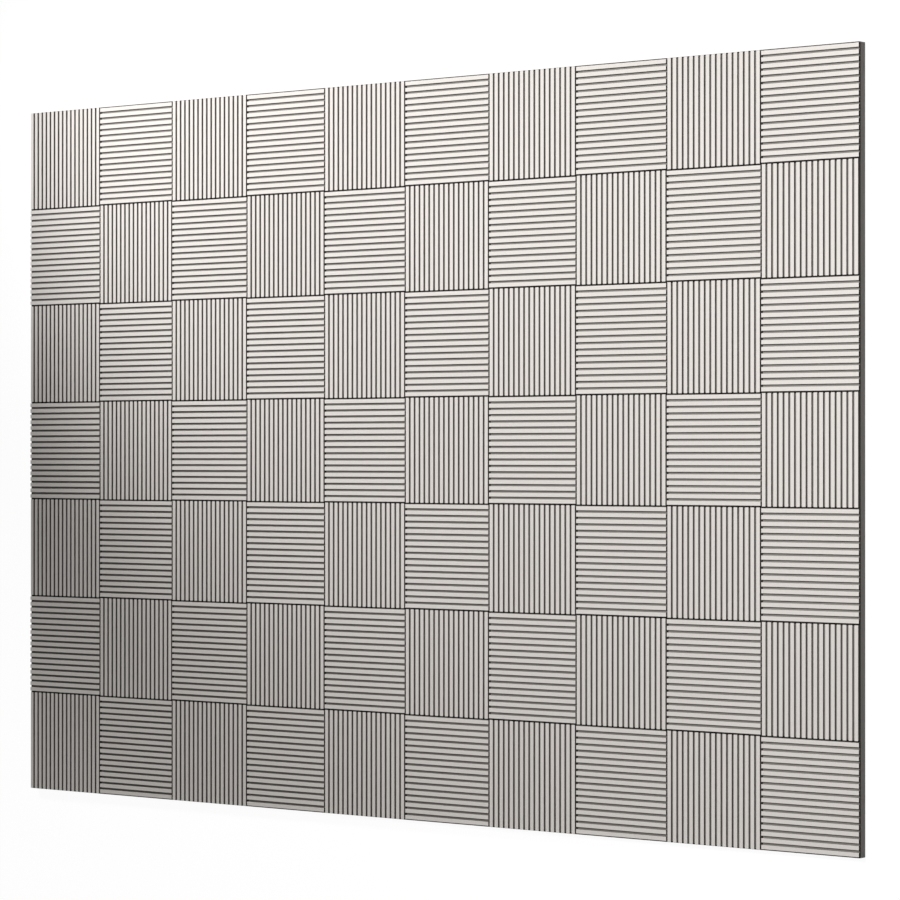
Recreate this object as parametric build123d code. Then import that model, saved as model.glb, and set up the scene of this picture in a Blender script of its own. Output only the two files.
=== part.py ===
from build123d import *
import os

# Ribbed plaster wall panel, cast as one slab. It lies on its back with the ribs upwards.
# Millimetres. X runs along the width, Y up the height as hung, Z out of the wall.
# The origin is at the middle of the flat back.

# Layout of the face: squares side by side, like a chequerboard
square_side = 120.0
columns = 10
rows = 7

# Section: a solid slab, and the relief that stands on it
slab_thickness = 9.8
groove_depth = 2.4
groove_width = 2.8  # across the mouth of a groove, at face level
rib_end_slope = 0.55  # how far the end of a rib leans back from the border of its square
ribs_per_square = 17

rib_pitch = square_side / ribs_per_square
face_height = slab_thickness + groove_depth


def groove_cutter(mouth):
    """A straight V groove along Y, its valley at slab level, run up past the face."""
    overrun = groove_depth
    half_mouth = mouth / 2 * (groove_depth + overrun) / groove_depth
    with BuildPart() as cutter:
        with BuildSketch(Plane.XZ):
            with BuildLine():
                Polyline(
                    (0, slab_thickness),
                    (half_mouth, face_height + overrun),
                    (-half_mouth, face_height + overrun),
                    close=True,
                )
            make_face()
        extrude(amount=square_side, both=True)
    return cutter.part


def ribbed_square():
    """One square with its ribs along Y. The first and last grooves fall on its borders,
    so half of each is cut here, and the ribs' ends slope down to the other two borders."""
    bottom_aligned = (Align.CENTER, Align.CENTER, Align.MIN)
    with BuildPart() as square:
        Box(square_side, square_side, face_height, align=bottom_aligned)
        with GridLocations(rib_pitch, 0, ribs_per_square + 1, 1):
            add(groove_cutter(groove_width), mode=Mode.SUBTRACT)
        with GridLocations(0, square_side, 1, 2):
            add(groove_cutter(2 * rib_end_slope), rotation=(0, 0, 90), mode=Mode.SUBTRACT)
    return square.part


def relief_panel():
    """All the squares, each turned a quarter against its neighbours, as one solid."""
    upright = ribbed_square()
    level = Rot(0, 0, 90) * upright
    cast = []
    for column in range(columns):
        for row in range(rows):
            x = (column - (columns - 1) / 2) * square_side
            y = ((rows - 1) / 2 - row) * square_side
            ribs = upright if (column + row) % 2 == 0 else level
            cast.append(Pos(x, y, 0) * ribs)
    return cast[0].fuse(*cast[1:]).clean()


os.makedirs("parts", exist_ok=True)
panel = relief_panel()
export_step(panel, "parts/relief_panel.step")
print("panel", panel.bounding_box().size, "solids", len(panel.solids()))
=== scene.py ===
import math

import bmesh
import bpy
from mathutils import Matrix, Vector


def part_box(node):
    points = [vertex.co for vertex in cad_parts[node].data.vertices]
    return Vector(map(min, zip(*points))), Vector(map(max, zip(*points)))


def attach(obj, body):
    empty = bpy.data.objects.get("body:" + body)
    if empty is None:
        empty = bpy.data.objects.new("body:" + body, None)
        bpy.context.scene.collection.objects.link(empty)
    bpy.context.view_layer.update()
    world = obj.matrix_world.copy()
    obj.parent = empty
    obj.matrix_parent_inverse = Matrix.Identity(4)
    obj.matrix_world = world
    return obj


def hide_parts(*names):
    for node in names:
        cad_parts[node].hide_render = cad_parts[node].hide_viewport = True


# Ribbed plaster wall panel lying on its back, seen from above and from the right.
# All sizes are in metres. X is the panel's width, Y its height as hung, Z comes out of its face.

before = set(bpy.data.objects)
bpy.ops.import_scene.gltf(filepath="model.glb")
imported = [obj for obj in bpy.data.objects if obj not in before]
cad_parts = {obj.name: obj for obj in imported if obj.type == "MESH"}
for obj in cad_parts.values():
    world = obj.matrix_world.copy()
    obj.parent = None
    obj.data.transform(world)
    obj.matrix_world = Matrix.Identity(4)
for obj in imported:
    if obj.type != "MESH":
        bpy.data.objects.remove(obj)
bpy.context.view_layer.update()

panelNode = "relief_panel"
panelLow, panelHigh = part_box(panelNode)
bpy.context.scene.view_settings.view_transform = "Standard"
print("frame loaded, panel box", tuple(panelLow), tuple(panelHigh))


# Camera: level with the panel's middle row, well to its right

cameraView = {
    "place": (2.4311, -0.0054, 3.02),
    "yaw": 38.1885,     # degrees, turned to the left of straight down
    "pitch": 0.0838,    # degrees, raised towards the panel's top
    "lens": 136.14,     # mm
    "sensor": 36.0,     # mm, across the picture
}


def addCamera(view):
    yaw, pitch = math.radians(view["yaw"]), math.radians(view["pitch"])
    right = Vector((math.cos(yaw), 0, -math.sin(yaw)))
    level = Vector((-math.sin(yaw), 0, -math.cos(yaw)))
    ahead = level * math.cos(pitch) + Vector((0, math.sin(pitch), 0))
    turn = Matrix((right, right.cross(ahead), -ahead)).transposed()
    data = bpy.data.cameras.new("photoCamera")
    data.lens = view["lens"]
    data.sensor_width = view["sensor"]
    camera = bpy.data.objects.new("photoCamera", data)
    camera.matrix_world = Matrix.Translation(view["place"]) @ turn.to_4x4()
    bpy.context.scene.collection.objects.link(camera)
    bpy.context.scene.camera = camera


addCamera(cameraView)
print("camera placed")


# Shader nodes: helpers for the sky, the floor and the plaster

def newNode(tree, kind, **settings):
    made = tree.nodes.new(kind)
    for name, value in settings.items():
        setattr(made, name, value)
    return made


def setSockets(made, **values):
    for name, value in values.items():
        made.inputs[name.replace("_", " ")].default_value = value
    return made


def mathNode(tree, operation, first, second):
    made = newNode(tree, "ShaderNodeMath", operation=operation)
    for socket, value in zip(made.inputs, (first, second)):
        if isinstance(value, (int, float)):
            socket.default_value = value
        else:
            tree.links.new(value, socket)
    return made.outputs[0]


def rangeOf(tree, value, fromLow, fromHigh, toLow, toHigh):
    made = newNode(tree, "ShaderNodeMapRange")
    setSockets(made, From_Min=fromLow, From_Max=fromHigh, To_Min=toLow, To_Max=toHigh)
    tree.links.new(value, made.inputs["Value"])
    return made.outputs["Result"]


def greyOf(level):
    return (level, level, level, 1)


def lookRays(tree):
    # 1 for rays that show the background itself: straight to the camera, mirrored or through glass
    path = newNode(tree, "ShaderNodeLightPath")
    direct = mathNode(tree, "MAXIMUM", path.outputs["Is Camera Ray"], path.outputs["Is Glossy Ray"])
    return mathNode(tree, "MAXIMUM", direct, path.outputs["Is Transmission Ray"])


def splitByRay(tree, seen, light, out):
    # one shader for the rays that show the background, the other for those that light the panel
    mix = newNode(tree, "ShaderNodeMixShader")
    tree.links.new(lookRays(tree), mix.inputs[0])
    tree.links.new(light.outputs[0], mix.inputs[1])
    tree.links.new(seen.outputs[0], mix.inputs[2])
    tree.links.new(mix.outputs[0], out.inputs["Surface"])


# Lamps: three soft spots beyond the panel's top, two of them off its left, and a low grey sky

lampRig = {
    "key": {
        "place": (0.31, 1.77, 4.16),
        "aim": (1.19, 0.47, 0),
        "halfCone": 22.3,
        "watts": 822,
        "radius": 0.4,
    },
    "top": {
        "place": (-0.79, 0.74, 0.88),
        "aim": (-0.26, 0.36, 0),
        "halfCone": 27.7,
        "watts": 50,
        "radius": 0.1,
    },
    "fill": {
        "place": (-1.32, 1.49, 1.57),
        "aim": (0.13, -1.6, 0),
        "halfCone": 21.6,
        "watts": 176,
        "radius": 0.2,
    },
}
sky = {
    "ambient": 0.1,    # the light that it gives
    "seen": 1.0,       # how bright it looks
}


def addSpot(name, lamp):
    data = bpy.data.lights.new(name, "SPOT")
    data.energy = lamp["watts"]
    data.spot_size = math.radians(2 * lamp["halfCone"])
    data.spot_blend = 1.0    # the cone fades all the way from its middle
    data.shadow_soft_size = lamp["radius"]
    spot = bpy.data.objects.new(name, data)
    place = Vector(lamp["place"])
    spot.location = place
    spot.rotation_mode = "QUATERNION"
    spot.rotation_quaternion = (Vector(lamp["aim"]) - place).to_track_quat("-Z", "Y")
    bpy.context.scene.collection.objects.link(spot)


def addSky(settings):
    world = bpy.data.worlds.new("studioSky")
    world.use_nodes = True
    tree = world.node_tree
    tree.nodes.clear()
    light = newNode(tree, "ShaderNodeBackground")
    setSockets(light, Color=greyOf(1), Strength=settings["ambient"])
    seen = newNode(tree, "ShaderNodeBackground")
    setSockets(seen, Color=greyOf(1), Strength=settings["seen"])
    splitByRay(tree, seen, light, newNode(tree, "ShaderNodeOutputWorld"))
    bpy.context.scene.world = world


for lampName, lamp in lampRig.items():
    addSpot(lampName + "Lamp", lamp)
addSky(sky)
print("lamps and sky ready")


# Floor: white to the eye, with the panel's faint shadow, and grey to the light that it throws back

floorLook = {
    "size": 30.0,
    "drop": 0.0002,         # below the panel's back
    "bounceGrey": 0.15,     # its grey for the light that it throws back
    "whiteGlow": 0.95,      # its own light, for the eye only
    "shadowWhite": 0.1,     # grey of the layer over the glow that shows the shadow
}


def addFloor(look):
    bm = bmesh.new()
    bmesh.ops.create_grid(bm, x_segments=1, y_segments=1, size=look["size"] / 2)
    bmesh.ops.translate(bm, verts=bm.verts, vec=(0, 0, -look["drop"]))
    mesh = bpy.data.meshes.new("studioFloor")
    bm.to_mesh(mesh)
    bm.free()
    floor = bpy.data.objects.new("studioFloor", mesh)
    bpy.context.scene.collection.objects.link(floor)
    material = bpy.data.materials.new("studioFloor")
    material.use_nodes = True
    tree = material.node_tree
    tree.nodes.clear()
    bounce = newNode(tree, "ShaderNodeBsdfDiffuse")
    setSockets(bounce, Color=greyOf(look["bounceGrey"]))
    lit = newNode(tree, "ShaderNodeBsdfDiffuse")
    setSockets(lit, Color=greyOf(look["shadowWhite"]))
    glow = newNode(tree, "ShaderNodeEmission")
    setSockets(glow, Strength=look["whiteGlow"])
    seen = newNode(tree, "ShaderNodeAddShader")
    tree.links.new(lit.outputs[0], seen.inputs[0])
    tree.links.new(glow.outputs[0], seen.inputs[1])
    splitByRay(tree, seen, bounce, newNode(tree, "ShaderNodeOutputMaterial"))
    mesh.materials.append(material)


addFloor(floorLook)
print("floor laid")


# Panel: one ribbed square, repeated over the face with a quarter turn at every second place,
# and the slab under it

panelShape = {
    "columns": 10,
    "rows": 7,
    "ribs": 17,            # in each square
    "slab": 0.0098,        # from the back to the floors of the grooves
    "groove": 0.0025,      # from rib to rib, across a groove's floor
    "ribEnd": 0.00042,     # from a rib's end to its square's border
    "draft": 0.00008,      # how far a rib's wall leans in from floor to face
    "arris": 0.00008,      # width of the rounding along the ribs
    "arrisSteps": 2,
    "slabArris": 0.0006,   # width of the rounding round the back
    "near": 0.00001,       # corners closer than this are one
    "flatBend": 0.01,      # radians, faces that meet at less than this are one
}


def squareSide(shape):
    return (panelHigh.x - panelLow.x) / shape["columns"]


def vertsOf(parts):
    return [part for part in parts if isinstance(part, bmesh.types.BMVert)]


def edgesWhere(bm, test):
    return [e for e in bm.edges if all(test(v.co) for v in e.verts)]


def uprightEdges(bm, shape):
    # those that go down the whole slab
    least = shape["slab"] - shape["near"]
    return [e for e in bm.edges if abs(e.verts[0].co.z - e.verts[1].co.z) > least]


def addRibbedSquare(bm, shape, side, relief):
    # ribs along Y: a row of strips, each set in by half a groove and raised to the face
    bmesh.ops.create_grid(bm, x_segments=shape["ribs"], y_segments=1, size=side / 2)
    strips = bm.faces[:]
    border = bm.verts[:]
    # drawn out while the strips are set in, so that their ends are set in by less
    longer = 1 + (shape["groove"] - 2 * shape["ribEnd"]) / side
    bmesh.ops.scale(bm, verts=border, vec=(1, longer, 1))
    bmesh.ops.inset_individual(
        bm, faces=strips, thickness=shape["groove"] / 2, use_even_offset=True,
    )
    bmesh.ops.scale(bm, verts=border, vec=(1, 1 / longer, 1))
    bmesh.ops.inset_individual(
        bm, faces=strips, thickness=shape["draft"], depth=relief, use_even_offset=True,
    )
    near = shape["near"]
    bmesh.ops.bevel(
        bm, geom=edgesWhere(bm, lambda co: co.z > relief - near), offset=shape["arris"],
        offset_type="OFFSET", affect="EDGES", segments=shape["arrisSteps"], profile=0.5,
        material=-1, clamp_overlap=True,
    )
    # the borders beside a rib get a corner for each rib end of the square next to them
    for way in (-1, 1):
        beside = edgesWhere(bm, lambda co: abs(co.x * way - side / 2) < near)
        bmesh.ops.bisect_edges(bm, edges=beside, cuts=shape["ribs"] - 1)


def repeatSquare(bm, shape, side):
    first = bm.verts[:] + bm.edges[:] + bm.faces[:]
    quarterTurn = Matrix.Rotation(math.pi / 2, 3, "Z")
    for column in range(shape["columns"]):
        for row in range(shape["rows"]):
            corners = vertsOf(bmesh.ops.duplicate(bm, geom=first)["geom"])
            if (column + row) % 2 == 1:
                bmesh.ops.rotate(bm, verts=corners, cent=(0, 0, 0), matrix=quarterTurn)
            x = (column - (shape["columns"] - 1) / 2) * side
            y = ((shape["rows"] - 1) / 2 - row) * side
            bmesh.ops.translate(bm, verts=corners, vec=(x, y, 0))
    bmesh.ops.delete(bm, geom=vertsOf(first), context="VERTS")
    bmesh.ops.remove_doubles(bm, verts=bm.verts, dist=shape["near"])


def addSlab(bm, shape):
    # the rim goes straight down to the back, and each side becomes one face
    rim = [e for e in bm.edges if e.is_boundary]
    foot = vertsOf(bmesh.ops.extrude_edge_only(bm, edges=rim)["geom"])
    bmesh.ops.translate(bm, verts=foot, vec=(0, 0, -shape["slab"]))
    bmesh.ops.edgeloop_fill(bm, edges=[e for e in bm.edges if e.is_boundary])
    bm.normal_update()
    straight = [e for e in uprightEdges(bm, shape) if e.calc_face_angle(0) < shape["flatBend"]]
    bmesh.ops.dissolve_edges(bm, edges=straight, use_verts=True)
    backEdges = edgesWhere(bm, lambda co: co.z < shape["near"] - shape["slab"])
    bmesh.ops.bevel(
        bm, geom=backEdges + uprightEdges(bm, shape), offset=shape["slabArris"],
        offset_type="OFFSET", affect="EDGES", segments=shape["arrisSteps"], profile=0.5,
        material=-1, clamp_overlap=True,
    )


def addPanel(shape):
    side = squareSide(shape)
    relief = panelHigh.z - panelLow.z - shape["slab"]
    bm = bmesh.new()
    addRibbedSquare(bm, shape, side, relief)
    repeatSquare(bm, shape, side)
    addSlab(bm, shape)
    middle = (panelLow + panelHigh) / 2
    bmesh.ops.translate(bm, verts=bm.verts, vec=(middle.x, middle.y, panelLow.z + shape["slab"]))
    bmesh.ops.recalc_face_normals(bm, faces=bm.faces)
    triangles = sum(len(f.verts) - 2 for f in bm.faces)
    openEdges = sum(not e.is_manifold for e in bm.edges)
    litres = bm.calc_volume(signed=True) * 1000
    print("panel triangles", triangles, "open edges", openEdges, "litres", litres)
    mesh = bpy.data.meshes.new("plaster_panel")
    bm.to_mesh(mesh)
    bm.free()
    panel = bpy.data.objects.new("plaster_panel", mesh)
    bpy.context.scene.collection.objects.link(panel)
    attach(panel, "root")
    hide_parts(panelNode)
    return panel


# Plaster: faintly clouded on the ribs, with painted shade darkening the floors and walls of the
# grooves and painted near-black shade along the borders, darkest there

plasterLook = {
    "crest": (0.88, 0.832, 0.788),
    "edge": (0.8, 0.757, 0.715),
    # painted shade: this darker tone stands for the shade on the grooves' floors and walls
    "valley": (0.32, 0.3, 0.281),
    # painted shade: near-black for the shade in the trenches along the borders and along the rim
    "seamShade": (0.04, 0.037, 0.034),
    "faceToneReach": 0.00006,   # how far down a rib's wall the tone of its face reaches, before the painted shade of the groove
    "wallFrom": 0.00012,   # how far down the wall counts as wholly inside the groove
    "fullShadeFrom": 0.0002,   # how far down the wall the painted shade is as dark as on the floor
    "seamReach": 0.0013,   # from a border between squares to where the painted near-black shade along it ends
    "rimReach": 0.00145,   # the same from the panel's rim
    "fadeFrom": 0.75,      # the share of its reach after which such a line fades
    "rimDrop": 0.0007,     # how far the painted shade of the grooves and the painted dark line at the rim fade down the edge's own face
    "rimFull": 1 / 3,      # the share of that drop over which it keeps its full tone
    "cloud": {"size": 0.35, "detail": 3, "rough": 0.5, "share": 0.03},
    "speck": {"size": 0.0016, "detail": 4, "rough": 0.5, "share": 0.05},
    "grain": {"size": 0.0009, "detail": 3, "rough": 0.6, "depth": 0.00012},
    "ripple": {"size": 0.018, "detail": 2, "rough": 0.5, "depth": 0.0002},
    "noiseLow": 0.3,       # the span that noise is taken to cover
    "noiseHigh": 0.7,
    "roughLow": 0.78,
    "roughHigh": 0.92,
    "sheen": 0.5,          # how strongly the plaster of the ribs' faces mirrors light
    "grooveSheen": 0.1,      # the same for the floors and walls of the grooves, under the painted shade
}


def noiseAt(tree, coords, noise):
    made = newNode(tree, "ShaderNodeTexNoise")
    setSockets(made, Scale=1 / noise["size"], Detail=noise["detail"], Roughness=noise["rough"])
    tree.links.new(coords, made.inputs["Vector"])
    return made.outputs["Fac"]


def spreadNoise(tree, value, look, low, high):
    return rangeOf(tree, value, look["noiseLow"], look["noiseHigh"], low, high)


def toneByHeight(tree, height, look, slab, face):
    # from the back up: plain edge, floors and walls of the grooves darkened with painted shade, the
    # ribs' faces in their own tone
    ramp = newNode(tree, "ShaderNodeValToRGB")
    steps = [
        (slab - look["rimDrop"], look["edge"]),
        (slab - look["rimDrop"] * look["rimFull"], look["valley"]),
        (face - look["fullShadeFrom"], look["valley"]),
        (face - look["faceToneReach"], look["crest"]),
    ]
    stops = ramp.color_ramp.elements
    while len(stops) < len(steps):
        stops.new(0.5)
    for stop, (level, colour) in zip(stops, steps):
        stop.position = level / face
        stop.color = colour + (1,)
    tree.links.new(mathNode(tree, "DIVIDE", height, face), ramp.inputs["Fac"])
    return ramp.outputs["Color"]


def reliefMask(tree, height, look, slab, face):
    # 1 on the floors and walls of the grooves, where shade is painted, 0 on the faces of the ribs
    # and on the plain edge
    below = rangeOf(tree, height, face - look["faceToneReach"], face - look["wallFrom"], 0, 1)
    above = rangeOf(tree, height, slab - look["rimDrop"], slab, 0, 1)
    return mathNode(tree, "MULTIPLY", below, above)


def beside(tree, distances, reach, fadeFrom):
    # 1 on a line, 0 from the given reach on; the distances are along X and along Y
    nearest = mathNode(tree, "MINIMUM", distances[0], distances[1])
    return rangeOf(tree, nearest, reach * fadeFrom, reach, 1, 0)


def shadeLineMask(tree, split, look, side):
    # 1 along the borders between squares and along the panel's rim, where near-black shade is
    # painted
    toBorder, toRim = [], []
    for axis, low, high in (("X", panelLow.x, panelHigh.x), ("Y", panelLow.y, panelHigh.y)):
        along = mathNode(tree, "SUBTRACT", split.outputs[axis], low)
        # kept half a square off the rim, so that the rim isn't one of the borders
        inner = newNode(tree, "ShaderNodeClamp")
        setSockets(inner, Min=side / 2, Max=high - low - side / 2)
        tree.links.new(along, inner.inputs["Value"])
        toBorder.append(mathNode(tree, "PINGPONG", inner.outputs[0], side / 2))
        toRim.append(mathNode(tree, "PINGPONG", along, (high - low) / 2))
    between = beside(tree, toBorder, look["seamReach"], look["fadeFrom"])
    alongRim = beside(tree, toRim, look["rimReach"], look["fadeFrom"])
    return mathNode(tree, "MAXIMUM", between, alongRim)


def paintSeamShade(tree, tone, seamShade, look):
    # this node mixes colours with its sockets 6 and 7, and gives them out at 2
    # the near-black colour is painted shade in the narrow trenches along the borders and the rim
    mix = newNode(tree, "ShaderNodeMix", data_type="RGBA")
    tree.links.new(seamShade, mix.inputs[0])
    tree.links.new(tone, mix.inputs[6])
    mix.inputs[7].default_value = look["seamShade"] + (1,)
    return mix.outputs[2]


def mottled(tree, colour, coords, look):
    for noise in (look["cloud"], look["speck"]):
        darkest = 1 - noise["share"]
        made = newNode(tree, "ShaderNodeVectorMath", operation="SCALE")
        tree.links.new(colour, made.inputs[0])
        shade = spreadNoise(tree, noiseAt(tree, coords, noise), look, darkest, 1)
        tree.links.new(shade, made.inputs["Scale"])
        colour = made.outputs[0]
    return colour


def surfaceNormal(tree, coords, grain, look):
    # a slow ripple from the casting, and the grain on top of it
    broad = newNode(tree, "ShaderNodeBump")
    setSockets(broad, Distance=look["ripple"]["depth"])
    tree.links.new(noiseAt(tree, coords, look["ripple"]), broad.inputs["Height"])
    fine = newNode(tree, "ShaderNodeBump")
    setSockets(fine, Distance=look["grain"]["depth"])
    tree.links.new(grain, fine.inputs["Height"])
    tree.links.new(broad.outputs["Normal"], fine.inputs["Normal"])
    return fine.outputs["Normal"]


def plasterMaterial(look, shape):
    slab = panelLow.z + shape["slab"]
    face = panelHigh.z
    material = bpy.data.materials.new("castPlaster")
    material.use_nodes = True
    tree = material.node_tree
    tree.nodes.clear()
    shader = newNode(tree, "ShaderNodeBsdfPrincipled")
    out = newNode(tree, "ShaderNodeOutputMaterial")
    tree.links.new(shader.outputs[0], out.inputs["Surface"])
    coords = newNode(tree, "ShaderNodeTexCoord").outputs["Object"]
    split = newNode(tree, "ShaderNodeSeparateXYZ")
    tree.links.new(coords, split.inputs[0])
    height = split.outputs["Z"]
    inRelief = reliefMask(tree, height, look, slab, face)
    lines = shadeLineMask(tree, split, look, squareSide(shape))
    # painted near-black shade, only on the floors and walls along the borders and the rim
    seamShade = mathNode(tree, "MULTIPLY", lines, inRelief)
    # painted shade: the grooves' darker tone by height, with the near-black shade of the trenches
    # laid over it
    tone = paintSeamShade(tree, toneByHeight(tree, height, look, slab, face), seamShade, look)
    tree.links.new(mottled(tree, tone, coords, look), shader.inputs["Base Color"])
    grain = noiseAt(tree, coords, look["grain"])
    rough = spreadNoise(tree, grain, look, look["roughLow"], look["roughHigh"])
    tree.links.new(rough, shader.inputs["Roughness"])
    dull = rangeOf(tree, inRelief, 0, 1, look["sheen"], look["grooveSheen"])
    tree.links.new(dull, shader.inputs["Specular IOR Level"])
    tree.links.new(surfaceNormal(tree, coords, grain, look), shader.inputs["Normal"])
    return material


panel = addPanel(panelShape)
panel.data.materials.append(plasterMaterial(plasterLook, panelShape))
print("panel modelled and finished")
